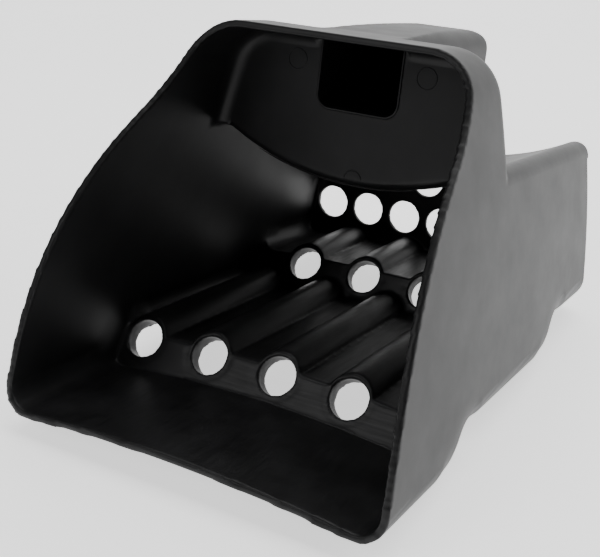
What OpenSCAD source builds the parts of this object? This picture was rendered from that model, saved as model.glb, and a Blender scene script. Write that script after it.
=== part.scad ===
// Sand scoop sieve: one black plastic moulding with a stepped, perforated floor,
// a perforated back wall, a hood over the mouth and a hollow grip behind the hood.
// X is the width, Y runs from the lip to the back, Z is up. The scoop stands on
// the rear edges of its front and middle floors, which tilts it back a little.
// Sections are drawn in XZ and pulled along Y, as the mould opens along Y.

/* [Body] */
// Width of the body at its widest, at the lip
body_w = 150; // [146:1:154]
// Length from the lip to the back wall's outer face
body_l = 214; // [210:1:216]
// Height of the hood's roof above the lip corners
hood_top = 139; // [137:1:142]
// Wall thickness everywhere
wall = 2.6; // [2.2:0.1:3]
// Radius of the bow in the side walls
bow_r = 510; // [480:10:560]
// Height at which the bowed sides are widest
bow_z = -11.5; // [-14:0.5:-9]
// Outer radius along the bottom corners
bottom_r = 10; // [9:0.5:11]
// Outer radius of the hood's two roof corners
hood_r = 20; // [18:1:22]

/* [Floor] */
// Draft of the three floors, which rise towards the back
draft = 1.4; // [1:0.1:1.8]
// Backward lean of both risers from upright
lean = 30; // [27:1:33]
// Height of the lip's inner face at its middle
lip_z = 4.5; // [4:0.1:5]
// Distance back to the front riser's top edge
front_riser_y = 63.5; // [61:0.5:66]
// Height of the front riser's top edge
front_riser_z = 17.3; // [16.5:0.1:18]
// Distance back to the rear riser's top edge
rear_riser_y = 164.4; // [162:0.1:166]
// Height of the rear riser's top edge
rear_riser_z = 32.4; // [31.5:0.1:33.5]

/* [Sieve holes] */
// Radius of the holes through the two risers
riser_hole_r = 7.6; // [7:0.1:7.8]
// Spacing of the riser holes
riser_pitch = 30; // [29:0.5:30]
// Radius of the holes through the back wall
back_hole_r = 7.8; // [7:0.1:8]
// Spacing of the holes in each row of the back wall
back_pitch = 19.5; // [18.5:0.5:19.5]
// Height of the back wall's lower row of holes
back_row_z = 47.9; // [47:0.1:49]
// Rise from the lower row to the upper row
back_row_rise = 20; // [19:0.5:21]
// Outer radius of the half-tube channels behind the riser holes
channel_r = 9.8; // [9.6:0.1:10]

/* [Hood and shoulders] */
// Distance back to the hood's rear face
hood_l = 105; // [103:1:107]
// Radius of the hood's rounded rear edge
rear_edge_r = 8; // [7:0.5:9]
// Radius of the rounded shoulders
shoulder_r = 6; // [5:0.5:7]
// Radius of the hollow under the grip
recess_r = 115; // [112:1:118]
// Height of the lowest line of that hollow
recess_z = 84; // [83:0.5:86]

/* [Grip] */
// Width of the grip
grip_w = 38; // [36:1:40]
// Distance back to the grip's closed end
grip_l = 190; // [186:1:194]
// Height of the grip's underside
grip_z = 107; // [105:0.5:108]
// Radius of the slight arch along the grip's roof
grip_arch_r = 900; // [800:50:1200]
// Radius of the grip's upper rear corner
grip_end_r = 12; // [11:0.5:13]
// Radius along the grip's four long edges
grip_edge_r = 8; // [7:0.5:8.5]

/* [Hidden] */
$fn = 96;
arc_fn = 360; // for arcs of large radius
half_w = body_w / 2;
level_y = [0, front_riser_y, rear_riser_y]; // where each floor starts, on its inner face
level_z = [lip_z, front_riser_z, rear_riser_z];
crown_r = [640, 850, 900]; // radius of each floor's crown, outer face
hole_drop = [2.3, 3.3]; // from a riser's top edge down to its hole centres
hole_crown_r = 1600; // radius of the arch that the hole centres lie on
channel_drop = 1.6; // from a hole's centre down to its channel's centre
roll_r = 3.2; // radius of the roll below the bulkhead
mid_holes = [for (i = [-2:2]) i * riser_pitch];
rear_holes = [for (i = [-1.5:1.5]) i * riser_pitch];
reach = 300; // longer than the object

bow = [half_w - bow_r, bow_z]; // centre of the right side's bow
recess = [0, recess_z + recess_r]; // centre of the hollow under the grip
hood_in = hood_l - wall; // bulkhead's front face
edge_y = hood_l - rear_edge_r; // where the hood's rear edge starts to round
back_in = body_l - wall;

function unit(v) = v / norm(v);
// One crossing of a circle about a with a circle about b; side is 1 or -1
function crossing(a, ra, b, rb, side) =
    let (d = norm(b - a), u = (b - a) / d,
         k = (d * d + ra * ra - rb * rb) / (2 * d), h = sqrt(ra * ra - k * k))
    a + u * k + side * h * [-u[1], u[0]];
function on_bow(c, i, z = 0) = bow - [0, z] + (bow_r - i) * unit(c - bow + [0, z]);

// Floor k has its own frame, whose origin is the start of its inner face
function crown(k) = [0, -wall - crown_r[k]];
function corner(k) =
    crossing(bow - [0, level_z[k]], bow_r - bottom_r, crown(k), crown_r[k] + bottom_r, 1);
function on_crown(k, i) = crown(k) + (crown_r[k] + i) * unit(corner(k) - crown(k));
function corner_top(k) = on_bow(corner(k), 0, level_z[k])[1];

// Centres of the roof corners and of the shoulders
roof_corner = [bow[0] + sqrt(pow(bow_r - hood_r, 2) - pow(hood_top - hood_r - bow_z, 2)),
               hood_top - hood_r];
shoulder = crossing(bow, bow_r - shoulder_r, recess, recess_r + shoulder_r, -1);
roof_corner_z = on_bow(roof_corner, 0)[1];
shoulder_z = on_bow(shoulder, 0)[1];
function on_recess(i) = recess + (recess_r + i) * unit(shoulder - recess);
recess_x = on_recess(0)[0];

// The grip's roof arch peaks at arch_y; its rear upper corner is centred on end_y, end_z
arch_y = grip_l - 20;
arch_z = hood_top - sqrt(pow(grip_arch_r, 2) - pow(arch_y - hood_l, 2));
end_y = grip_l - grip_end_r;
end_z = arch_z + sqrt(pow(grip_arch_r - grip_end_r, 2) - pow(end_y - arch_y, 2));
grip_low = grip_z + grip_edge_r; // top of the underside's rounded edges
grip_top = arch_z + grip_arch_r;
grip_high = grip_top - grip_edge_r; // where the roof's rounded edges start

// Height of floor k at distance y, off its inner face by dz, and its crossing
// with the plane of riser j pushed back by off
function floor_z(k, dz, y) = level_z[k] + dz / cos(draft) + (y - level_y[k]) * tan(draft);
function riser_y(j, off, z) =
    level_y[j + 1] + (z - level_z[j + 1]) * tan(lean) + off / cos(lean);
function floor_meets_riser(k, dz, j) =
    let (y = (riser_y(j, wall, floor_z(k, dz, 0))) / (1 - tan(draft) * tan(lean)))
    [y, floor_z(k, dz, y)];
function hole_z(j, x) = level_z[j + 1] - hole_drop[j] - x * x / (2 * hole_crown_r);

// The rim as seen from the side: a sweep up from the lip and an S into the hood
function bezier(p, t) =
    pow(1 - t, 3) * p[0] + 3 * t * pow(1 - t, 2) * p[1] + 3 * t * t * (1 - t) * p[2]
    + pow(t, 3) * p[3];
rim_low = [[0, 0], [4, 45], [17, 76], [50, 103]];
rim_high = [[50, 103], [59, 110.4], [72, 123], [76, hood_top]];
rim_steps = 12;
rim = [for (t = [0:1 / rim_steps:1]) bezier(rim_low, t),
       for (t = [1 / rim_steps:1 / rim_steps:1]) bezier(rim_high, t)];

// The resting position: both support edges at height 0, centred in X and Y
function corner_low(k) = corner(k)[1] - bottom_r;
foot_front = floor_meets_riser(0, corner_low(0), 0);
foot_rear = floor_meets_riser(1, corner_low(1), 1);
tilt = atan((foot_rear[1] - foot_front[1]) / (foot_rear[0] - foot_front[0]));
function tilted(p) = [p[0] * cos(tilt) + p[1] * sin(tilt), p[1] * cos(tilt) - p[0] * sin(tilt)];
rest_front = tilted([0, floor_z(0, corner_low(0), 0)])[0];
rest_back = tilted([body_l, shoulder[1] + shoulder_r])[0];
rest_z = -tilted(foot_front)[1];

// ---- Helpers ----
// An XZ outline pulled along Y, and a YZ outline pulled along X
module pull(y0, y1) translate([0, y1, 0]) rotate([90, 0, 0]) linear_extrude(y1 - y0) children();
module across(w) translate([-w / 2, 0, 0]) rotate([90, 0, 90]) linear_extrude(w) children();
module part() color("#26272a")
    translate([0, -(rest_front + rest_back) / 2, rest_z]) rotate([-tilt, 0, 0]) children();
module on_side(side) mirror([side < 0 ? 1 : 0, 0, 0]) children();
module on_floor(k) translate([0, level_y[k], level_z[k]]) rotate([draft, 0, 0]) children();

// ---- Sections in XZ; i insets them by a distance ----
module between_bows(i) intersection_for (s = [-1, 1])
    translate([s * bow[0], bow[1]]) circle(bow_r - i, $fn = arc_fn);
// All that lies above floor k, in the floor's own frame, with its rounded corners
module floor_section(k, i) {
    a = on_crown(k, i);
    b = on_bow(corner(k), i, level_z[k]);
    difference() {
        union() {
            translate([-reach / 2, b[1]]) square([reach, 90]);
            polygon([a, b, [-b[0], b[1]], [-a[0], a[1]]]);
            for (s = [-1, 1]) translate([s * corner(k)[0], corner(k)[1]]) circle(bottom_r - i);
        }
        translate(crown(k)) circle(crown_r[k] + i, $fn = arc_fn);
    }
}
module floor_skin(k) difference() {
    floor_section(k, 0);
    floor_section(k, wall);
}
module hood_section(i) {
    a = on_bow(roof_corner, i);
    intersection() {
        between_bows(i);
        translate([-reach / 2, 0]) square([reach, a[1]]);
    }
    polygon([a, [roof_corner[0], hood_top - i], [-roof_corner[0], hood_top - i], [-a[0], a[1]]]);
    for (s = [-1, 1]) translate([s * roof_corner[0], roof_corner[1]]) circle(hood_r - i);
}
module rear_section(i) difference() {
    a = on_bow(shoulder, i);
    b = on_recess(i);
    union() {
        intersection() {
            between_bows(i);
            translate([-reach / 2, -10]) square([reach, a[1] + 10]);
        }
        polygon([a, b, [-b[0], b[1]], [-a[0], a[1]]]);
        for (s = [-1, 1]) translate([s * shoulder[0], shoulder[1]]) circle(shoulder_r - i);
    }
    translate(recess) circle(recess_r + i, $fn = arc_fn);
}
module rear_skin() difference() {
    rear_section(0);
    rear_section(wall);
}

// ---- Spans in YZ ----
module behind_rim() across(reach)
    polygon(concat([[reach, -20], [0, -20]], rim, [[rim_high[3][0], 200], [reach, 200]]));
// Floor k's length, from the back of the riser before it to the back of the next,
// with each end moved back by a distance
module floor_span(k, front = 0, rear = 0) {
    z0 = -40;
    z1 = 80;
    y0 = k == 0 ? [-5, -5] : [for (z = [z0, z1]) riser_y(k - 1, wall + front, z)];
    y1 = k == 2 ? [body_l + rear, body_l + rear] : [for (z = [z0, z1]) riser_y(k, wall + rear, z)];
    across(reach) polygon([[y0[0], z0], [y1[0], z0], [y1[1], z1], [y0[1], z1]]);
}
module riser_slab(j) across(reach) polygon([[riser_y(j, 0, -20), -20],
    [riser_y(j, wall, -20), -20], [riser_y(j, wall, 60), 60], [riser_y(j, 0, 60), 60]]);
// The space that a channel takes out of its floor
module channel_slot(k, x) intersection() {
    channel_bar(k, x, channel_r);
    floor_span(k, -4, -wall);
}
module riser_hole(j, x) translate([x, riser_y(j, 0, hole_z(j, x)), hole_z(j, x)])
    rotate([-90 - lean, 0, 0]) cylinder(r = riser_hole_r, h = 14, center = true);
module channel_bar(k, x, r) on_floor(k)
    translate([x, -20, hole_z(k - 1, x) - channel_drop - level_z[k]])
    rotate([-90, 0, 0]) cylinder(r = r, h = 140);

// ---- Floors, risers and channels ----
module floor_plate(k, channels) difference() {
    intersection() {
        on_floor(k) pull(-10, 120) intersection() {
            floor_skin(k);
            square([2 * corner(k)[0], 60], center = true);
        }
        floor_span(k);
        behind_rim();
    }
    for (x = channels) channel_slot(k, x);
}
module riser(j, holes) difference() {
    intersection() {
        riser_slab(j);
        on_floor(j) pull(-10, 140) floor_section(j, wall);
        pull(0, body_l) between_bows(wall);
    }
    on_floor(j + 1) pull(-60, 60) floor_section(j + 1, wall);
    for (x = holes) riser_hole(j, x);
}
module channel(k, x) {
    intersection() {
        difference() {
            channel_bar(k, x, channel_r);
            channel_bar(k, x, channel_r - wall);
        }
        on_floor(k) pull(-20, 120) floor_section(k, 0);
        floor_span(k, 0, -wall);
    }
    difference() {
        intersection() {
            channel_bar(k, x, channel_r);
            riser_slab(k - 1);
            on_floor(k) pull(-30, 30) floor_section(k, wall);
        }
        riser_hole(k - 1, x);
    }
}
module floor_corner(k, side, channels) on_side(side) difference() {
    intersection() {
        on_floor(k) pull(-10, 120) intersection() {
            floor_skin(k);
            translate([corner(k)[0], -30]) square([40, 30 + corner_top(k)]);
        }
        floor_span(k);
        behind_rim();
    }
    for (x = channels) if (x > 0) channel_slot(k, x);
}
module front_lip() part() floor_plate(0, []);
module front_riser() part() riser(0, mid_holes);
module middle_floor() part() floor_plate(1, mid_holes);
module middle_channel(n) part() channel(1, mid_holes[n - 1]);
module rear_riser() part() riser(1, rear_holes);
module rear_floor() part() floor_plate(2, rear_holes);
module rear_channel(n) part() channel(2, rear_holes[n - 1]);
module lip_corner(side) part() floor_corner(0, side, []);
module middle_corner(side) part() floor_corner(1, side, mid_holes);
module rear_corner(side) part() floor_corner(2, side, rear_holes);

// ---- Walls ----
module side_wall(side) part() on_side(side) intersection() {
    pull(-5, body_l) difference() {
        intersection() {
            between_bows(0);
            translate([0, -20]) square([reach, 200]);
        }
        between_bows(wall);
    }
    behind_rim();
    across(reach) polygon([
        [-5, floor_z(0, corner_top(0), -5)], floor_meets_riser(0, corner_top(0), 0),
        floor_meets_riser(1, corner_top(1), 0), floor_meets_riser(1, corner_top(1), 1),
        floor_meets_riser(2, corner_top(2), 1), [body_l, floor_z(2, corner_top(2), body_l)],
        [body_l, shoulder_z], [edge_y, shoulder_z], [edge_y, roof_corner_z],
        [-5, roof_corner_z]]);
}
module back_holes() for (row = [0, 1])
    for (i = [-3 + row / 2:3 - row / 2])
        translate([i * back_pitch, back_in - 2, back_row_z + row * back_row_rise])
            rotate([-90, 0, 0]) cylinder(r = back_hole_r, h = wall + 4);
module back_wall() part() difference() {
    intersection() {
        pull(back_in, body_l) rear_section(wall);
        on_floor(2) pull(20, 80) floor_section(2, wall);
    }
    back_holes();
}

// ---- Hood ----
module roof_corner(side) part() on_side(side) intersection() {
    pull(40, edge_y) difference() {
        hood_section(0);
        hood_section(wall);
    }
    behind_rim();
    translate([roof_corner[0], 0, roof_corner_z]) cube([80, reach, 80]);
}
module hood_roof() part() {
    intersection() {
        pull(40, edge_y) translate([-roof_corner[0], hood_top - wall])
            square([2 * roof_corner[0], wall]);
        behind_rim();
    }
    pull(edge_y, hood_l) grip_band(hood_top - wall, hood_top);
}
// The hood's closed rear end, with a quarter-round edge
module hood_end(i) hull() for (a = [0:15:90])
    translate([0, edge_y + (rear_edge_r - i) * sin(a), 0]) rotate([90, 0, 0])
        linear_extrude(0.02) intersection() {
            hood_section(i + (rear_edge_r - i) * (1 - cos(a)), $fn = 48);
            translate([-reach / 2, recess_z]) square([reach, reach]);
        }
module bulkhead_plate() difference() {
    union() {
        pull(hood_in, hood_l) intersection() {
            hood_section(rear_edge_r);
            translate([-reach / 2, recess_z]) square([reach, reach]);
        }
        pull(hood_in, hood_l) grip_band(roof_corner_z, hood_top - wall);
    }
    pull(0, body_l) rear_section(0);
}
module hood_rear_edge() part() difference() {
    hood_end(0);
    hood_end(wall);
    pull(hood_in, hood_l + 1) hood_section(rear_edge_r);
    pull(0, body_l) rear_section(0);
    pull(edge_y - 1, hood_l + 1) grip_band(roof_corner_z, grip_top);
    pull(0, body_l) translate([-reach / 2, 0]) square([reach, shoulder_z]);
}
module bulkhead() part() difference() {
    bulkhead_plate();
    pull(hood_in - 1, hood_l + 1) grip_front(wall);
}

// ---- Shoulders and the hand recess ----
module shoulder_ring(side) part() on_side(side) difference() {
    pull(edge_y, body_l) intersection() {
        rear_skin();
        translate([recess_x, shoulder_z]) square([40, 40]);
    }
    hood_end(wall);
}
module hand_recess() part() difference() {
    pull(hood_in, body_l) intersection() {
        rear_skin();
        translate([-recess_x, recess_z - 10]) square([2 * recess_x, 40]);
    }
    translate([0, 0, recess[1]]) rotate([-90, 0, 0]) rotate_extrude($fn = arc_fn) difference() {
        translate([recess_r + wall - roll_r, hood_in - 1]) square([roll_r + 1, roll_r + 1]);
        translate([recess_r + wall - roll_r, hood_in + roll_r]) circle(roll_r);
    }
}

// ---- Grip ----
module grip_front(i) {
    w = grip_w / 2;
    translate([-w + i, grip_z + grip_edge_r]) square([grip_w - 2 * i, 80]);
    translate([-w + grip_edge_r, grip_z + i]) square([grip_w - 2 * grip_edge_r, 80]);
    for (s = [-1, 1]) translate([s * (w - grip_edge_r), grip_z + grip_edge_r])
        circle(grip_edge_r - i);
}
module grip_side(i) intersection() {
    translate([arch_y, arch_z]) circle(grip_arch_r - i, $fn = arc_fn);
    union() {
        translate([0, grip_z + i]) square([end_y, 80]);
        translate([0, grip_z + grip_edge_r]) square([grip_l - i, end_z - grip_z - grip_edge_r]);
        translate([0, grip_z + i]) square([grip_l - grip_edge_r, 20]);
        translate([end_y, end_z]) circle(grip_end_r - i);
        translate([grip_l - grip_edge_r, grip_z + grip_edge_r]) circle(grip_edge_r - i);
    }
}
module grip_section(i) intersection() {
    grip_front(i);
    union() {
        translate([-reach / 2, 0]) square([reach, grip_high]);
        translate([-grip_w / 2 + grip_edge_r, 0])
            square([grip_w - 2 * grip_edge_r, grip_top - i]);
        for (s = [-1, 1]) translate([s * (grip_w / 2 - grip_edge_r), grip_high])
            circle(grip_edge_r - i);
    }
}
// The grip's section between two heights
module grip_band(z0, z1) intersection() {
    grip_section(0);
    translate([-grip_w / 2, z0]) square([grip_w, z1 - z0]);
}
module grip_volume(i) intersection() {
    pull(hood_l, grip_l) grip_section(i);
    across(grip_w) grip_side(i);
}
module grip_cut(y0, y1, z0, z1, x0 = -30, x1 = 30) part() intersection() {
    difference() {
        grip_volume(0);
        grip_volume(wall);
    }
    translate([x0, y0, z0]) cube([x1 - x0, y1 - y0, z1 - z0]);
}
module grip_roof() grip_cut(hood_l, end_y, grip_high, grip_high + 20);
module grip_left_side() grip_cut(hood_l, end_y, grip_low, grip_high, -30, 0);
module grip_right_side() grip_cut(hood_l, end_y, grip_low, grip_high, 0, 30);
module grip_underside() grip_cut(hood_l, end_y, grip_z, grip_low);
module grip_end() grip_cut(end_y, grip_l, grip_z, grip_high + 20);

front_lip();
front_riser();
middle_floor();
middle_channel(1);  // middle_channel_1
middle_channel(2);  // middle_channel_2
middle_channel(3);  // middle_channel_3
middle_channel(4);  // middle_channel_4
middle_channel(5);  // middle_channel_5
rear_riser();
rear_floor();
rear_channel(1);  // rear_channel_1
rear_channel(2);  // rear_channel_2
rear_channel(3);  // rear_channel_3
rear_channel(4);  // rear_channel_4
lip_corner(-1);  // left_lip_corner
lip_corner(1);  // right_lip_corner
middle_corner(-1);  // left_middle_corner
middle_corner(1);  // right_middle_corner
rear_corner(-1);  // left_rear_corner
rear_corner(1);  // right_rear_corner
side_wall(-1);  // left_side_wall
side_wall(1);  // right_side_wall
back_wall();
hood_roof();
roof_corner(-1);  // left_roof_corner
roof_corner(1);  // right_roof_corner
hood_rear_edge();
bulkhead();
hand_recess();
shoulder_ring(-1);  // left_shoulder
shoulder_ring(1);  // right_shoulder
grip_roof();
grip_left_side();
grip_right_side();
grip_underside();
grip_end();
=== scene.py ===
"""Looks of the sand scoop: one black plastic moulding on a pale floor in soft studio light.

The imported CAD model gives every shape. Its nodes are joined into one skin, rounded as a mould
rounds its edges, and cut up again into one piece per node."""
import math

import bmesh
import bpy
import numpy as np
from mathutils import Euler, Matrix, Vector
from mathutils.bvhtree import BVHTree
from mathutils.kdtree import KDTree


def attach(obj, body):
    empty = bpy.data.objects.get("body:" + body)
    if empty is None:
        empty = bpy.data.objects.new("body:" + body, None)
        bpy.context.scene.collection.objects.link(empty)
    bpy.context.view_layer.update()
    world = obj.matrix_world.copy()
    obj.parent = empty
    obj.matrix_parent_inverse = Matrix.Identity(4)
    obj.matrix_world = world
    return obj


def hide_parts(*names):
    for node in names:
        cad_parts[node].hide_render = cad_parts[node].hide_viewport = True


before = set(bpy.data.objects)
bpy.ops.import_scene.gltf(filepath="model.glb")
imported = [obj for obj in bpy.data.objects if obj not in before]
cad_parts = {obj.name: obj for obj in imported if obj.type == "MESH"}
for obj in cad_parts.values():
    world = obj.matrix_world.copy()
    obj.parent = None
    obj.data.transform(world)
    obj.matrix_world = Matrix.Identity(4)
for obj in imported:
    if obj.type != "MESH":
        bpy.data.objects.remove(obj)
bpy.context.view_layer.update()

# Camera: where it stands and how it is turned, in the row frame.
CAMERA_AT = (0.17338, -0.34863, 0.20595)
CAMERA_TURN = (66.192, -1.987, 29.732)
CAMERA_LENS = 64.09

# The mould's pull direction dips towards the back in the resting position.
DIP = math.radians(8.23117)
PULL_Y = 0.11288
PULL_Z = 0.008034


def from_pull(x, y, z):
    """A point given across, along and above the mould's pull direction, in the row frame."""
    along = y * math.cos(DIP) + z * math.sin(DIP) - PULL_Y
    above = z * math.cos(DIP) - y * math.sin(DIP) + PULL_Z
    return Vector((x, along, above))


class Nodes:
    """A short way to write a node tree."""

    def __init__(self, material):
        material.use_nodes = True
        self.tree = material.node_tree
        self.bsdf = self.tree.nodes["Principled BSDF"]

    def add(self, kind, values=None, **facts):
        node = self.tree.nodes.new(kind)
        for name, value in facts.items():
            setattr(node, name, value)
        for name, value in (values or {}).items():
            node.inputs[name].default_value = value
        return node

    def link(self, a, out, b, into):
        self.tree.links.new(a.outputs[out], b.inputs[into])

    def scaled(self, scale):
        """The object's coordinates, stretched by scale on each axis."""
        place = self.add("ShaderNodeTexCoord")
        mapping = self.add("ShaderNodeMapping")
        mapping.inputs["Rotation"].default_value = (DIP, 0, 0)
        mapping.inputs["Scale"].default_value = scale
        self.link(place, "Object", mapping, "Vector")
        return mapping

    def noise(self, scale, size, detail=3.0, rough=0.55):
        mapping = self.scaled(scale)
        noise = self.add(
            "ShaderNodeTexNoise",
            {"Scale": size, "Detail": detail, "Roughness": rough},
        )
        self.link(mapping, "Vector", noise, "Vector")
        return noise

    def ramp(self, source, out, low, high, dark, light):
        """Maps source from low..high to dark..light."""
        ranged = self.add(
            "ShaderNodeMapRange",
            {"From Min": low, "From Max": high, "To Min": dark, "To Max": light},
        )
        self.link(source, out, ranged, "Value")
        return ranged

    def colour(self, source, out, dark, light):
        ramp = self.add("ShaderNodeValToRGB")
        ramp.color_ramp.elements[0].position = 0.3
        ramp.color_ramp.elements[0].color = (*dark, 1)
        ramp.color_ramp.elements[1].position = 0.72
        ramp.color_ramp.elements[1].color = (*light, 1)
        self.link(source, out, ramp, "Fac")
        return ramp


def plastic(name, streak=(1, 1, 1), streak_size=240.0, streak_depth=0.00004,
            dark=0.006, light=0.011, rough_low=0.34, rough_high=0.46):
    """Black moulded plastic: faint mottling, fine grain and marks drawn out along one axis."""
    material = bpy.data.materials.new(name)
    nodes = Nodes(material)
    mottle = nodes.noise((1, 1, 1), 55.0, 4.0)
    tint = nodes.colour(mottle, "Fac", (dark, dark, dark * 1.05), (light, light, light * 1.05))
    nodes.link(tint, "Color", nodes.bsdf, "Base Color")
    marks = nodes.noise(streak, streak_size, 4.0, 0.6)
    rough = nodes.ramp(marks, "Fac", 0.3, 0.7, rough_low, rough_high)
    nodes.link(rough, "Result", nodes.bsdf, "Roughness")
    grain = nodes.noise((1, 1, 1), 2600.0, 2.0)
    fine = nodes.add("ShaderNodeBump", {"Strength": 0.25, "Distance": 0.00002})
    nodes.link(grain, "Fac", fine, "Height")
    drawn = nodes.add("ShaderNodeBump", {"Strength": 0.6, "Distance": streak_depth})
    nodes.link(marks, "Fac", drawn, "Height")
    nodes.link(fine, "Normal", drawn, "Normal")
    nodes.link(drawn, "Normal", nodes.bsdf, "Normal")
    nodes.bsdf.inputs["IOR"].default_value = 1.5
    nodes.bsdf.inputs["Specular IOR Level"].default_value = 0.23
    return material


SMOOTH = plastic("plastic_smooth", (1, 1, 1), 60.0, 0.00002, rough_low=0.38, rough_high=0.44)
DRAWN = plastic("plastic_drawn", (1, 0.02, 1), 700.0, 0.00006, light=0.017)
# Painted light: the risers' base colour is lighter than the same plastic elsewhere and stands in
# for the light their faces catch.
RISER_PAINTED_LIGHTER = plastic("plastic_riser_painted_lighter", (0.05, 1, 1), 900.0, 0.00007, dark=0.012, light=0.03)
FACE = plastic("plastic_face", (1, 1, 0.06), 500.0, 0.00005)

# Sections of the scoop, as (across, above) in the pull frame: the hollow under the grip, the
# bowed side wall and the shoulder between them.
RECESS_AT, RECESS_R = (0.0, 0.199), 0.115
BOW_AT, BOW_R = (-0.435, -0.0115), 0.510
SHOULDER_AT, SHOULDER_R = (0.05808, 0.09285), 0.006
SHOULDER_FROM = 0.045  # the shoulder lies farther out than this
SHOULDER_EASE = 0.003  # how far in from its centre the shoulder's round still counts
RECESS_LOW = 0.075  # the hollow lies above this

# Where the body and the grip end, and the radii of their rear edges
BODY_BACK, BACK_R = 0.214, 0.008
BODY_TOP = 0.105  # the grip starts above this
BEHIND_HOOD = 0.107
RECESS_EDGE_R = 0.004
GRIP_HALF, GRIP_BACK, GRIP_R = 0.019, 0.190, 0.006
GRIP_LOW = 0.1055
GRIP_CLEAR = 0.022  # nothing but the grip lies nearer to the middle than this, that high up
MARGIN = 0.001  # how far ahead of a rounded edge the rounding starts to look

# The skin's cell, and how hard it is smoothed
VOXEL = 0.0008
SNAP = 0.8 * VOXEL  # vertices nearer than this to a sharp edge are put on it
SHARP = math.radians(28)
EVEN_ROUNDS, SKIN_ROUNDS, EDGE_ROUNDS = 2, 6, 3
BORDER_ROUNDS, SMALL_ISLAND = 6, 150

# Collars behind the riser holes: radii, and how far behind the riser they start and end
COLLAR_IN, COLLAR_OUT = 0.0075, 0.0093
COLLAR_NEAR, COLLAR_FAR = 0.0003, 0.0074

# The holes in the two risers: how far back, how high, how far below the edge, where across
RISERS = (
    (0.0635, 0.0173, 0.0023, (-0.060, -0.030, 0.0, 0.030, 0.060)),
    (0.1644, 0.0324, 0.0033, (-0.045, -0.015, 0.015, 0.045)),
)
LEAN = math.radians(30)

# The two steps in the sides' lower outline, each as (back, above) at its foot and its top
STEPS = (((0.0565, 0.0), (0.0645, 0.0135)), ((0.1571, 0.0146), (0.1655, 0.0292)))
STEP_NEAR, STEP_FAR = 0.009, 0.016  # full softening within near, none past far
STEP_IN, STEP_OUT = 0.0685, 0.0715  # none nearer to the middle, full farther out
STEP_ROUNDS = 200


def to_pull(points):
    """Row-frame points as points across, along and above the mould's pull direction."""
    y, z = points[:, 1] + PULL_Y, points[:, 2] - PULL_Z
    c, s = math.cos(DIP), math.sin(DIP)
    return np.stack([points[:, 0], y * c - z * s, z * c + y * s], 1)


def to_row(points):
    """The other way about."""
    c, s = math.cos(DIP), math.sin(DIP)
    y, z = points[:, 1], points[:, 2]
    return np.stack([points[:, 0], y * c + z * s - PULL_Y, z * c - y * s + PULL_Z], 1)


def tube(centre, axis, inner, outer, near, far, sides=64):
    """A ring of rectangular section: its points and its triangles."""
    axis = np.array(axis, float)
    u = np.array((1.0, 0.0, 0.0))
    v = np.cross(axis, u)
    turn = np.arange(sides) / sides * 2 * math.pi
    ring = np.outer(np.cos(turn), u) + np.outer(np.sin(turn), v)
    corners = ((inner, near), (outer, near), (outer, far), (inner, far))
    points = np.concatenate([np.array(centre) + r * ring + t * axis for r, t in corners])
    tris = []
    for k in range(4):
        a, b = k * sides, (k + 1) % 4 * sides
        for i in range(sides):
            j = (i + 1) % sides
            tris += [(a + i, b + i, b + j), (a + i, b + j, a + j)]
    return points, np.array(tris)


def collars():
    """The short tubes behind the riser holes, which make each hole's wall deep."""
    axis = (0, math.cos(LEAN), -math.sin(LEAN))
    for name, (y, z, drop, places) in zip(("front_riser", "rear_riser"), RISERS):
        for x in places:
            up = z - drop - x * x / 3.2
            centre = (x, y + (up - z) * math.tan(LEAN), up)
            points, tris = tube(centre, axis, COLLAR_IN, COLLAR_OUT, COLLAR_NEAR, COLLAR_FAR)
            yield name, to_row(points), tris


def gathered():
    """Every CAD node and collar in one list of points and triangles, and each triangle's node."""
    points, tris, owner, names = [], [], [], sorted(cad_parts)
    count = 0
    pieces = []
    for name in names:
        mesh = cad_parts[name].data
        mesh.calc_loop_triangles()
        co = np.empty(len(mesh.vertices) * 3)
        mesh.vertices.foreach_get("co", co)
        tri = np.empty(len(mesh.loop_triangles) * 3, np.int32)
        mesh.loop_triangles.foreach_get("vertices", tri)
        pieces.append((name, co.reshape(-1, 3), tri.reshape(-1, 3)))
    for name, co, tri in pieces + list(collars()):
        points.append(co)
        tris.append(tri + count)
        owner += [names.index(name)] * len(tri)
        count += len(co)
    return np.concatenate(points), np.concatenate(tris), np.array(owner), names


def remeshed(points, tris):
    """One closed skin round all of it, in small even faces."""
    mesh = bpy.data.meshes.new("gathered")
    mesh.from_pydata(points.tolist(), [], tris.tolist())
    work = bpy.data.objects.new("gathered", mesh)
    bpy.context.scene.collection.objects.link(work)
    remesh = work.modifiers.new("skin", "REMESH")
    remesh.mode = "VOXEL"
    remesh.voxel_size = VOXEL
    remesh.adaptivity = 0
    graph = bpy.context.evaluated_depsgraph_get()
    skin = bpy.data.meshes.new_from_object(work.evaluated_get(graph))
    bpy.data.objects.remove(work)
    bpy.data.meshes.remove(mesh)
    co = np.empty(len(skin.vertices) * 3)
    skin.vertices.foreach_get("co", co)
    loops = np.empty(len(skin.loops), np.int32)
    skin.loops.foreach_get("vertex_index", loops)
    sides = np.empty(len(skin.polygons), np.int32)
    skin.polygons.foreach_get("loop_total", sides)
    if not (sides == 4).all():
        raise RuntimeError("the skin has faces that aren't quads")
    bpy.data.meshes.remove(skin)
    return co.reshape(-1, 3), loops.reshape(-1, 4)


def edges_of(quads):
    """Every edge once, as a pair of vertices."""
    pairs = np.concatenate([quads[:, (k, (k + 1) % 4)] for k in range(4)])
    return np.unique(np.sort(pairs, 1), axis=0)


def smoothed(co, edges, rounds):
    """Evens out the steps left by the voxels without shrinking the walls."""
    n = len(co)
    a, b = edges[:, 0], edges[:, 1]
    degree = np.bincount(a, minlength=n) + np.bincount(b, minlength=n)
    for k in range(rounds * 2):
        mean = np.empty_like(co)
        for axis in range(3):
            total = np.bincount(a, co[b, axis], n) + np.bincount(b, co[a, axis], n)
            mean[:, axis] = total / degree
        co = co + (mean - co) * (0.55 if k % 2 == 0 else -0.57)
    return co


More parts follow.
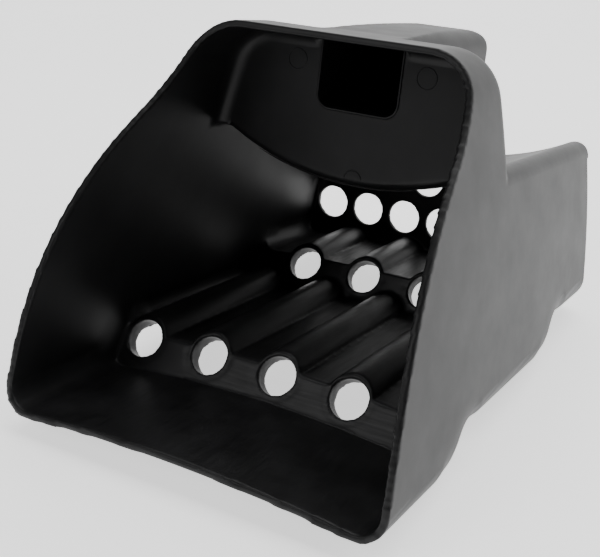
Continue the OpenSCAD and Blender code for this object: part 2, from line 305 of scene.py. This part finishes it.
def sharp_points(points, tris):
    """Points set close together along every sharp edge of the CAD nodes."""
    weld = np.unique(np.round(points, 7), axis=0, return_inverse=True)[1].reshape(-1)
    corner = points[tris]
    normal = np.cross(corner[:, 1] - corner[:, 0], corner[:, 2] - corner[:, 0])
    normal /= np.maximum(np.linalg.norm(normal, axis=1), 1e-12)[:, None]
    ends = np.concatenate([tris[:, (k, (k + 1) % 3)] for k in range(3)])
    face = np.tile(np.arange(len(tris)), 3)
    key = np.sort(weld[ends], 1).astype(np.int64)
    key = key[:, 0] * (weld.max() + 1) + key[:, 1]
    order = np.argsort(key, kind="stable")
    key, face, ends = key[order], face[order], ends[order]
    first = np.flatnonzero(key[:-1] == key[1:])
    bent = (normal[face[first]] * normal[face[first + 1]]).sum(1) < math.cos(SHARP)
    found = []
    for a, b in points[ends[first[bent]]]:
        steps = max(2, int(np.linalg.norm(b - a) / 0.0003))
        found.append(a + np.linspace(0, 1, steps)[:, None] * (b - a))
    return np.concatenate(found)


def onto_cad(co, points, tris):
    """Puts each vertex back on the CAD surface, and the ones beside a sharp edge on the edge."""
    surface = BVHTree.FromPolygons(points.tolist(), tris.tolist())
    co = np.array([surface.find_nearest(v)[0] for v in co.tolist()])
    sharp = sharp_points(points, tris)
    tree = KDTree(len(sharp))
    for k, point in enumerate(sharp.tolist()):
        tree.insert(point, k)
    tree.balance()
    for k, v in enumerate(co.tolist()):
        near, _, gap = tree.find(v)
        if gap < SNAP:
            co[k] = near
    return co


def relaxed(co, edges, rounds, weight=None):
    """Rounds edges off; weight says how much at each vertex."""
    n = len(co)
    a, b = edges[:, 0], edges[:, 1]
    degree = np.maximum(np.bincount(a, minlength=n) + np.bincount(b, minlength=n), 1)
    share = 0.5 if weight is None else 0.5 * weight[:, None]
    for _ in range(rounds):
        mean = np.empty_like(co)
        for axis in range(3):
            total = np.bincount(a, co[b, axis], n) + np.bincount(b, co[a, axis], n)
            mean[:, axis] = total / degree
        co = co + (mean - co) * share
    return co


def ramped(value, low, high):
    """0 below low, 1 above high and a smooth step between."""
    t = np.clip((value - low) / (high - low), 0, 1)
    return t * t * (3 - 2 * t)


def soften_steps(co, edges):
    """Turns the stepped lower outline at both sides into soft curves."""
    p = to_pull(co)
    weight = np.zeros(len(co))
    for (ya, za), (yb, zb) in STEPS:
        along = np.array((yb - ya, zb - za))
        t = np.clip(((p[:, 1] - ya) * along[0] + (p[:, 2] - za) * along[1]) / (along @ along), 0, 1)
        gap = np.hypot(p[:, 1] - ya - t * along[0], p[:, 2] - za - t * along[1])
        weight = np.maximum(weight, 1 - ramped(gap, STEP_NEAR, STEP_FAR))
    weight *= ramped(np.abs(p[:, 0]), STEP_IN, STEP_OUT)
    near = weight > 0
    for a, b in ((0, 1), (1, 0)):
        near[edges[near[edges[:, a]], b]] = True
    index = np.full(len(co), -1)
    index[near] = np.arange(near.sum())
    inner = edges[near[edges[:, 0]] & near[edges[:, 1]]]
    co = co.copy()
    co[near] = relaxed(co[near], index[inner], STEP_ROUNDS, weight[near])
    return co


def neighbours(quads):
    """Pairs of faces that share an edge."""
    ends = np.concatenate([quads[:, (k, (k + 1) % 4)] for k in range(4)])
    ends = np.sort(ends, 1).astype(np.int64)
    face = np.tile(np.arange(len(quads)), 4)
    key = ends[:, 0] * (quads.max() + 1) + ends[:, 1]
    order = np.argsort(key, kind="stable")
    key, face = key[order], face[order]
    same = key[:-1] == key[1:]
    return np.stack([face[:-1][same], face[1:][same]], 1)


def owners(co, quads, points, tris, owner, count):
    """Which node each face belongs to, with straight borders and no loose islands."""
    tree = BVHTree.FromPolygons(points.tolist(), tris.tolist())
    centres = co[quads].mean(1)
    label = np.array([owner[tree.find_nearest(c)[2]] for c in centres.tolist()])
    pairs = neighbours(quads)
    a, b = pairs[:, 0], pairs[:, 1]
    for _ in range(BORDER_ROUNDS):
        votes = np.zeros((len(quads), count), np.float32)
        votes[np.arange(len(quads)), label] = 1.5
        np.add.at(votes, (a, label[b]), 1)
        np.add.at(votes, (b, label[a]), 1)
        label = votes.argmax(1)
    around = [[] for _ in range(len(quads))]
    for i, j in pairs.tolist():
        around[i].append(j)
        around[j].append(i)
    labels = label.tolist()
    seen = [False] * len(quads)
    for start in range(len(quads)):
        if seen[start]:
            continue
        seen[start] = True
        island, border, k = [start], {}, 0
        while k < len(island):
            for j in around[island[k]]:
                if labels[j] != labels[start]:
                    border[labels[j]] = border.get(labels[j], 0) + 1
                elif not seen[j]:
                    seen[j] = True
                    island.append(j)
            k += 1
        if len(island) < SMALL_ISLAND and border:
            best = max(sorted(border), key=border.get)
            for j in island:
                labels[j] = best
    return np.array(labels)


def rounded_corner(inset, behind, radius):
    """Turns the square corner between two faces into a quarter-round, walls and all."""
    a, b = radius - inset, radius - behind
    zone = (a > 0) & (b > 0)
    length = np.sqrt(a * a + b * b)
    scale = np.where(zone, np.maximum(a, b) / np.maximum(length, 1e-9), 1)
    return np.where(zone, radius - a * scale, inset), np.where(zone, radius - b * scale, behind)


def round_back(co):
    """Rounds the rear edges of the body and the end of the grip, as the mould does."""
    p = to_pull(co)
    x, y, z = np.abs(p[:, 0]), p[:, 1], p[:, 2]
    side = np.sign(p[:, 0])
    shoulder = (z > SHOULDER_AT[1]) & (y > BEHIND_HOOD) & (x > SHOULDER_FROM)
    bow = np.stack([x - BOW_AT[0], z - BOW_AT[1]], 1)
    reach = np.linalg.norm(bow, axis=1)
    cap = np.stack([x - SHOULDER_AT[0], z - SHOULDER_AT[1]], 1)
    cap_reach = np.linalg.norm(cap, axis=1)
    dish = np.stack([x - RECESS_AT[0], z - RECESS_AT[1]], 1)
    dish_reach = np.linalg.norm(dish, axis=1)
    on_cap = shoulder & (cap[:, 0] > -SHOULDER_EASE)
    inset = np.where(on_cap, SHOULDER_R - cap_reach, BOW_R - reach)
    out = np.where(on_cap[:, None], cap / cap_reach[:, None], bow / reach[:, None])
    in_dish = (z > RECESS_LOW) & (y > BEHIND_HOOD) & (dish_reach - RECESS_R < inset)
    in_dish &= cap[:, 0] <= 0
    inset = np.where(in_dish, dish_reach - RECESS_R, inset)
    out = np.where(in_dish[:, None], -dish / dish_reach[:, None], out)
    body = (y > BODY_BACK - BACK_R - MARGIN) & (z < BODY_TOP)
    radius = np.where(in_dish, RECESS_EDGE_R, np.where(shoulder, SHOULDER_R, BACK_R))
    new_in, new_back = rounded_corner(np.clip(inset, 0, None), np.clip(BODY_BACK - y, 0, None),
                                      radius)
    push = np.where(body, np.clip(inset, 0, None) - new_in, 0)
    x = x + out[:, 0] * push
    z = z + out[:, 1] * push
    y = np.where(body, BODY_BACK - new_back, y)
    end = (y > GRIP_BACK - GRIP_R - MARGIN) & (z > GRIP_LOW) & (x < GRIP_CLEAR)
    grip_in, grip_behind = rounded_corner(np.clip(GRIP_HALF - x, 0, None),
                                          np.clip(GRIP_BACK - y, 0, None), GRIP_R)
    x = np.where(end, GRIP_HALF - grip_in, x)
    y = np.where(end, GRIP_BACK - grip_behind, y)
    return to_row(np.stack([x * side, y, z], 1))


def vertex_normals(co, quads):
    """Normals of the whole skin, so that the pieces meet without a crease."""
    a, b = co[quads[:, 2]] - co[quads[:, 0]], co[quads[:, 3]] - co[quads[:, 1]]
    face = np.cross(a, b)
    total = np.zeros_like(co)
    for k in range(4):
        for axis in range(3):
            total[:, axis] += np.bincount(quads[:, k], face[:, axis], len(co))
    return total / np.maximum(np.linalg.norm(total, axis=1), 1e-12)[:, None]


def material_of(name):
    """The plastic with the marks that the mould left on this node."""
    if "riser" in name:
        return RISER_PAINTED_LIGHTER
    if "floor" in name or "channel" in name or "lip" in name or "corner" in name:
        return DRAWN if "roof" not in name else SMOOTH
    if name == "bulkhead":
        return FACE
    return SMOOTH


def cut_up(co, quads, label, names):
    """One piece of skin for each node."""
    normals = vertex_normals(co, quads)
    for k, name in enumerate(names):
        mine = quads[label == k]
        used, index = np.unique(mine, return_inverse=True)
        mesh = bpy.data.meshes.new(name + "_skin")
        mesh.from_pydata(co[used].tolist(), [], index.reshape(-1, 4).tolist())
        mesh.polygons.foreach_set("use_smooth", [True] * len(mesh.polygons))
        mesh.normals_split_custom_set_from_vertices(normals[used].tolist())
        mesh.materials.append(material_of(name))
        piece = bpy.data.objects.new(name + "_skin", mesh)
        bpy.context.scene.collection.objects.link(piece)
        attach(piece, "root")
        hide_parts(name)


cad_points, cad_tris, cad_owner, cad_names = gathered()
skin_co, skin_quads = remeshed(cad_points, cad_tris)
skin_edges = edges_of(skin_quads)
skin_co = onto_cad(smoothed(skin_co, skin_edges, EVEN_ROUNDS), cad_points, cad_tris)
skin_label = owners(skin_co, skin_quads, cad_points, cad_tris, cad_owner, len(cad_names))
skin_co = relaxed(smoothed(skin_co, skin_edges, SKIN_ROUNDS), skin_edges, EDGE_ROUNDS)
skin_co = soften_steps(round_back(skin_co), skin_edges)
cut_up(skin_co, skin_quads, skin_label, cad_names)


def lathe(name, centre, profile, start=0.0, stop=2 * math.pi, sides=72):
    """A closed ring or disc on the bulkhead's front: profile gives distance out and height."""
    full = stop - start > 6.2
    count = sides if full else sides + 1
    bm = bmesh.new()
    rows = []
    for k in range(count):
        turn = start + (stop - start) * k / sides
        rows.append([
            bm.verts.new(from_pull(centre[0] + r * math.cos(turn), centre[1] - h,
                                   centre[2] + r * math.sin(turn)))
            for r, h in profile
        ])
    spans = list(zip(rows, rows[1:] + rows[:1])) if full else list(zip(rows, rows[1:]))
    for a, b in spans:
        for k in range(len(profile)):
            j = (k + 1) % len(profile)
            bm.faces.new((a[k], a[j], b[j], b[k]))
    if not full:
        bm.faces.new(rows[0])
        bm.faces.new(list(reversed(rows[-1])))
    bmesh.ops.recalc_face_normals(bm, faces=bm.faces)
    return finished(name, bm, FACE)


def finished(name, bm, material):
    """Makes a smooth piece of the mesh and adds it to the scoop."""
    for face in bm.faces:
        face.smooth = True
    mesh = bpy.data.meshes.new(name)
    bm.to_mesh(mesh)
    bm.free()
    mesh.materials.append(material)
    piece = bpy.data.objects.new(name, mesh)
    bpy.context.scene.collection.objects.link(piece)
    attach(piece, "root")
    return piece


def bead(name, path, radius, material, sides=10):
    """A thin round bead along a list of pull-frame points."""
    bm = bmesh.new()
    spots = [from_pull(*point) for point in path]
    rows = []
    for k, spot in enumerate(spots):
        ahead = (spots[min(k + 1, len(spots) - 1)] - spots[max(k - 1, 0)]).normalized()
        u = ahead.cross(Vector((0, math.cos(DIP), -math.sin(DIP)))).normalized()
        v = ahead.cross(u)
        thin = radius * min(1, 0.25 + min(k, len(spots) - 1 - k) * 0.25)
        rows.append([
            bm.verts.new(spot + thin * (math.cos(t) * u + math.sin(t) * v))
            for t in [i / sides * 2 * math.pi for i in range(sides)]
        ])
    for a, b in zip(rows, rows[1:]):
        for i in range(sides):
            j = (i + 1) % sides
            bm.faces.new((a[i], a[j], b[j], b[i]))
    bm.faces.new(rows[0])
    bm.faces.new(list(reversed(rows[-1])))
    bmesh.ops.recalc_face_normals(bm, faces=bm.faces)
    return finished(name, bm, material)


# Marks on the bulkhead. Profiles give distance from the mark's centre and height off the face.
FRONT = 0.1024  # the bulkhead's front face
RING = [(0.0036, -0.0004), (0.0037, 0.0001), (0.0039, 0.00022), (0.0041, 0.0001),
        (0.0042, -0.0004)]
HALF_RING = [(0.0031, -0.0004), (0.0033, 0.0006), (0.0036, 0.0009), (0.0039, 0.0006),
             (0.0041, -0.0004)]
for side, x in (("left", -0.0268), ("right", 0.0268)):
    lathe("ejector_mark_" + side, (x, FRONT, 0.126), RING)
lathe("gate_mark_outer", (0.002, FRONT + 0.0006, 0.0841), HALF_RING, 0.15, math.pi - 0.1)

# The bead round the grip's opening: down one side, round a corner, and the same mirrored
half_open, low_open, turn_r = 0.0164, 0.1096, 0.0054
opening = [(-half_open, FRONT, 0.1365 - k * 0.001) for k in range(22)]
for k in range(1, 12):
    turn = math.pi + k / 11 * math.pi / 2
    opening.append((-half_open + turn_r + turn_r * math.cos(turn), FRONT,
                    low_open + turn_r + turn_r * math.sin(turn)))
opening += [(-x, y, z) for x, y, z in reversed(opening)]
bead("opening_bead", [(x * 1.025, y, z - 0.0003) for x, y, z in opening], 0.0005, FACE)

# The thin line along the roll below the bulkhead, which sags to the middle
sag = [(x / 1000, 0.1052, 0.0812 + (x / 1000) ** 2 / 0.236) for x in range(-42, 29, 2)]
bead("parting_line", sag, 0.00028, FACE)


def pale(name, low, high):
    """The floor's plain pale stuff, with painted light: it glows, which weakens the scoop's shadow
    on it.
    """
    material = bpy.data.materials.new(name)
    nodes = Nodes(material)
    cloud = nodes.noise((1, 1, 1), 3.0, 2.0)
    tint = nodes.colour(cloud, "Fac", (low, low, low), (high, high, high))
    nodes.link(tint, "Color", nodes.bsdf, "Base Color")
    nodes.bsdf.inputs["Roughness"].default_value = 0.9
    nodes.bsdf.inputs["Specular IOR Level"].default_value = 0.1
    # Painted light: the floor's glow brightens the shade under the scoop and the floor seen through
    # the holes.
    nodes.bsdf.inputs["Emission Color"].default_value = (1, 1, 1, 1)
    nodes.bsdf.inputs["Emission Strength"].default_value = 1.1
    return material


def sweep():
    """The floor, curving up into a pale wall far behind the scoop."""
    mesh = bpy.data.meshes.new("floor")
    bm = bmesh.new()
    profile = [(-3.0, 0.0), (1.2, 0.0)]
    for k in range(1, 25):
        turn = k / 24 * math.pi / 2
        profile.append((1.2 + 1.0 * math.sin(turn), 1.0 - 1.0 * math.cos(turn)))
    profile.append((2.2, 3.5))
    rows = []
    for y, z in profile:
        rows.append([bm.verts.new((x, y, z)) for x in (-3.5, 3.5)])
    for a, b in zip(rows, rows[1:]):
        bm.faces.new((a[0], a[1], b[1], b[0]))
    for face in bm.faces:
        face.smooth = True
    bm.to_mesh(mesh)
    bm.free()
    floor = bpy.data.objects.new("floor", mesh)
    bpy.context.scene.collection.objects.link(floor)
    mesh.materials.append(pale("floor_pale_glowing", 0.86, 0.90))
    return floor


def area_light(name, at, to, size, power):
    """A soft rectangular light, turned towards a point."""
    data = bpy.data.lights.new(name, "AREA")
    data.shape = "RECTANGLE"
    data.size, data.size_y = size
    data.energy = power
    light = bpy.data.objects.new(name, data)
    light.location = at
    light.rotation_euler = (Vector(to) - Vector(at)).to_track_quat("-Z", "Y").to_euler()
    bpy.context.scene.collection.objects.link(light)
    return light


sweep()
area_light("key", (1.1, 0.2, 0.8), (0, 0, 0.06), (0.8, 0.8), 4)
area_light("top", (0.0, 0.5, 1.5), (0, 0.2, 0.0), (1.6, 1.2), 17)
area_light("front", (-0.5, -1.1, 0.9), (0, 0, 0.06), (0.6, 0.6), 4)

world = bpy.data.worlds.new("studio")
world.use_nodes = True
world.node_tree.nodes["Background"].inputs["Color"].default_value = (1, 1, 1, 1)
world.node_tree.nodes["Background"].inputs["Strength"].default_value = 0.08
bpy.context.scene.world = world

camera = bpy.data.objects.new("camera", bpy.data.cameras.new("camera"))
camera.data.lens = CAMERA_LENS
camera.data.sensor_width = 36
camera.location = CAMERA_AT
camera.rotation_euler = Euler([math.radians(a) for a in CAMERA_TURN], "XYZ")
bpy.context.scene.collection.objects.link(camera)
bpy.context.scene.camera = camera
